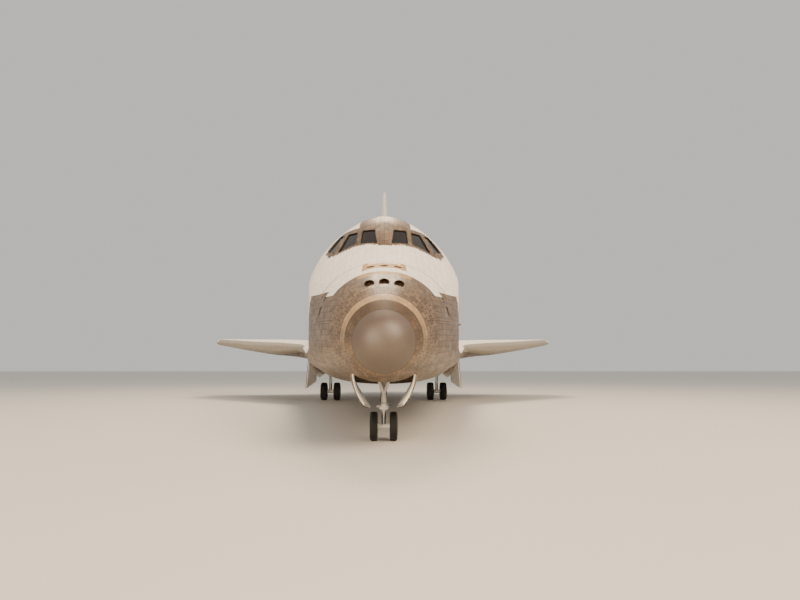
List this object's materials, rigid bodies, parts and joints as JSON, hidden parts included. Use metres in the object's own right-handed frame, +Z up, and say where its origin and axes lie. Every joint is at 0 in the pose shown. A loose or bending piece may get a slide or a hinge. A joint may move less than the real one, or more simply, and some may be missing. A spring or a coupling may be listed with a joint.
{
  "type": "space shuttle orbiter",
  "caption": "Winged reusable spacecraft parked on its wheels, with opening cargo bay doors, side hatch, elevons, split rudder, body flap and swivelling engine bells.",
  "frame": {"origin": "centre of the bounding box on the ground that the tyres stand on", "axes": "+Z up, the nose points to -Y, +X is the port side; the body is pitched 3.3 degrees nose down on its gear"},
  "size_m": [23.8, 36.4544, 17.283],
  "materials": {
    "carbon": "reinforced carbon, satin grey",
    "tile": "white and black silica tiles",
    "blanket": "quilted white silica blanket over rigid panels",
    "black_tile": "black coated silica tiles",
    "radiator": "bright radiator skin",
    "glass": "dark polished pane",
    "nozzle": "heat tinted nozzle tubes",
    "rubber": "moulded tyre",
    "wheel": "machined wheel",
    "strut": "gloss white paint",
    "actuator": "machined actuator",
    "liner": "cabin liner and consoles"
  },
  "bodies": {
    "airframe": {"aft_fuselage": "tile", "forward_fuselage": "tile", "mid_fuselage": "tile", "wing_port": "tile", "wing_starboard": "tile", "thruster_module": "tile", "engine_pod_port": "blanket", "engine_pod_starboard": "blanket", "nose_gear_leg": "strut", "main_gear_leg_port": "strut", "main_gear_leg_starboard": "strut", "fin": "tile", "flight_deck": "liner", "nose_cap": "carbon", "nose_gear_door_port": "black_tile", "nose_gear_door_starboard": "black_tile", "leading_edge_port": "carbon", "leading_edge_starboard": "carbon", "main_gear_door_port": "black_tile", "main_gear_door_starboard": "black_tile", "window_front_port": "glass", "window_middle_port": "glass", "window_side_port": "glass", "window_overhead_port": "glass", "window_aft_port": "glass", "window_front_starboard": "glass", "window_middle_starboard": "glass", "window_side_starboard": "glass", "window_overhead_starboard": "glass", "window_aft_starboard": "glass"},
    "crew_hatch": {"crew_hatch": "tile"},
    "body_flap": {"body_flap": "black_tile"},
    "rudder": {"rudder_actuators": "actuator"},
    "nose_steering": {"nose_gear_fork": "strut"},
    "nose_wheels": {"nose_rims": "wheel", "nose_tyre_port": "rubber", "nose_tyre_starboard": "rubber"},
    "bay_door_port": {"bay_door_port": "blanket", "radiator_port": "radiator"},
    "brake_panel_port": {"brake_panel_port": "blanket"},
    "elevon_inboard_port": {"elevon_inboard_port": "tile"},
    "elevon_outboard_port": {"elevon_outboard_port": "tile"},
    "main_wheels_port": {"main_rims_port": "wheel", "main_tyre_outer_port": "rubber", "main_tyre_inner_port": "rubber"},
    "main_engine_port": {"main_engine_port": "nozzle"},
    "pod_engine_port": {"pod_engine_port": "nozzle"},
    "bay_door_starboard": {"bay_door_starboard": "blanket", "radiator_starboard": "radiator"},
    "brake_panel_starboard": {"brake_panel_starboard": "blanket"},
    "elevon_inboard_starboard": {"elevon_inboard_starboard": "tile"},
    "elevon_outboard_starboard": {"elevon_outboard_starboard": "tile"},
    "main_wheels_starboard": {"main_rims_starboard": "wheel", "main_tyre_outer_starboard": "rubber", "main_tyre_inner_starboard": "rubber"},
    "main_engine_starboard": {"main_engine_starboard": "nozzle"},
    "pod_engine_starboard": {"pod_engine_starboard": "nozzle"},
    "main_engine_upper": {"main_engine_upper": "nozzle"}
  },
  "joints": [
    {"name": "hatch_hinge", "type": "hinge", "parent": "airframe", "child": "crew_hatch", "pos_m": [2.612, -11.76737, 3.49753], "axis": [0, 0.9983, 0.0576], "range_deg": [0, 90]},
    {"name": "body_flap_hinge", "type": "hinge", "parent": "airframe", "child": "body_flap", "pos_m": [-3.19, 14.71524, 3.86759], "axis": [-1, 0, 0], "range_deg": [-11.7, 22.55]},
    {"name": "rudder_hinge", "type": "hinge", "parent": "airframe", "child": "rudder", "pos_m": [0, 13.75423, 11.90059], "axis": [0, 0.5229, 0.8524], "range_deg": [-27.1, 27.1]},
    {"name": "brake_panel_port_hinge", "type": "hinge", "parent": "rudder", "child": "brake_panel_port", "pos_m": [0, 13.75423, 11.90059], "axis": [0, -0.5229, -0.8524], "range_deg": [0, 49.3]},
    {"name": "brake_panel_starboard_hinge", "type": "hinge", "parent": "rudder", "child": "brake_panel_starboard", "pos_m": [0, 13.75423, 11.90059], "axis": [0, 0.5229, 0.8524], "range_deg": [0, 49.3]},
    {"name": "nose_steering", "type": "hinge", "parent": "airframe", "child": "nose_steering", "pos_m": [0, -14.61173, 0.88547], "axis": [0, -0.0576, 0.9983], "range_deg": [-10, 10]},
    {"name": "nose_wheel_spin", "type": "hinge", "parent": "nose_steering", "child": "nose_wheels", "pos_m": [0, -14.5841, 0.40626], "axis": [1, 0, 0], "continuous": true},
    {"name": "bay_door_port_hinge", "type": "hinge", "parent": "airframe", "child": "bay_door_port", "pos_m": [2.58385, -9.38204, 5.55826], "axis": [0, 0.9983, 0.0576], "range_deg": [0, 175.5]},
    {"name": "elevon_inboard_port_hinge", "type": "hinge", "parent": "airframe", "child": "elevon_inboard_port", "pos_m": [3.26, 11.00767, 3.458], "axis": [-0.9981, 0.0035, -0.061], "range_deg": [-36.5, 21.5]},
    {"name": "elevon_outboard_port_hinge", "type": "hinge", "parent": "airframe", "child": "elevon_outboard_port", "pos_m": [7.5, 10.99273, 3.71706], "axis": [-0.9981, 0.0035, -0.061], "range_deg": [-36.5, 21.5]},
    {"name": "main_wheel_spin_port", "type": "hinge", "parent": "airframe", "child": "main_wheels_port", "pos_m": [3.455, 5.93078, 0.565], "axis": [1, 0, 0], "continuous": true},
    {"name": "pod_engine_port_gimbal", "type": "hinge", "parent": "airframe", "child": "pod_engine_port", "pos_m": [2.235, 14.03009, 8.80133], "axis": [-1, 0, 0], "range_deg": [-6, 6]},
    {"name": "main_engine_port_gimbal", "type": "hinge", "parent": "airframe", "child": "main_engine_port", "pos_m": [1.346, 12.98776, 4.93792], "axis": [-1, 0, 0], "range_deg": [-10.5, 10.5]},
    {"name": "bay_door_starboard_hinge", "type": "hinge", "parent": "airframe", "child": "bay_door_starboard", "pos_m": [-2.58385, -9.38204, 5.55826], "axis": [0, -0.9983, -0.0576], "range_deg": [0, 175.5]},
    {"name": "elevon_inboard_starboard_hinge", "type": "hinge", "parent": "airframe", "child": "elevon_inboard_starboard", "pos_m": [-3.26, 11.00767, 3.458], "axis": [-0.9981, -0.0035, 0.061], "range_deg": [-36.5, 21.5]},
    {"name": "elevon_outboard_starboard_hinge", "type": "hinge", "parent": "airframe", "child": "elevon_outboard_starboard", "pos_m": [-7.5, 10.99273, 3.71706], "axis": [-0.9981, -0.0035, 0.061], "range_deg": [-36.5, 21.5]},
    {"name": "main_wheel_spin_starboard", "type": "hinge", "parent": "airframe", "child": "main_wheels_starboard", "pos_m": [-3.455, 5.93078, 0.565], "axis": [1, 0, 0], "continuous": true},
    {"name": "pod_engine_starboard_gimbal", "type": "hinge", "parent": "airframe", "child": "pod_engine_starboard", "pos_m": [-2.235, 14.03009, 8.80133], "axis": [-1, 0, 0], "range_deg": [-6, 6]},
    {"name": "main_engine_starboard_gimbal", "type": "hinge", "parent": "airframe", "child": "main_engine_starboard", "pos_m": [-1.346, 12.98776, 4.93792], "axis": [-1, 0, 0], "range_deg": [-10.5, 10.5]},
    {"name": "main_engine_upper_gimbal", "type": "hinge", "parent": "airframe", "child": "main_engine_upper", "pos_m": [0, 12.255, 7.44891], "axis": [-1, 0, 0], "range_deg": [-10.5, 10.5]}
  ],
  "couplings": [
    {"joint": "brake_panel_port_hinge", "follows": "brake_panel_starboard_hinge", "ratio": 1}
  ]
}
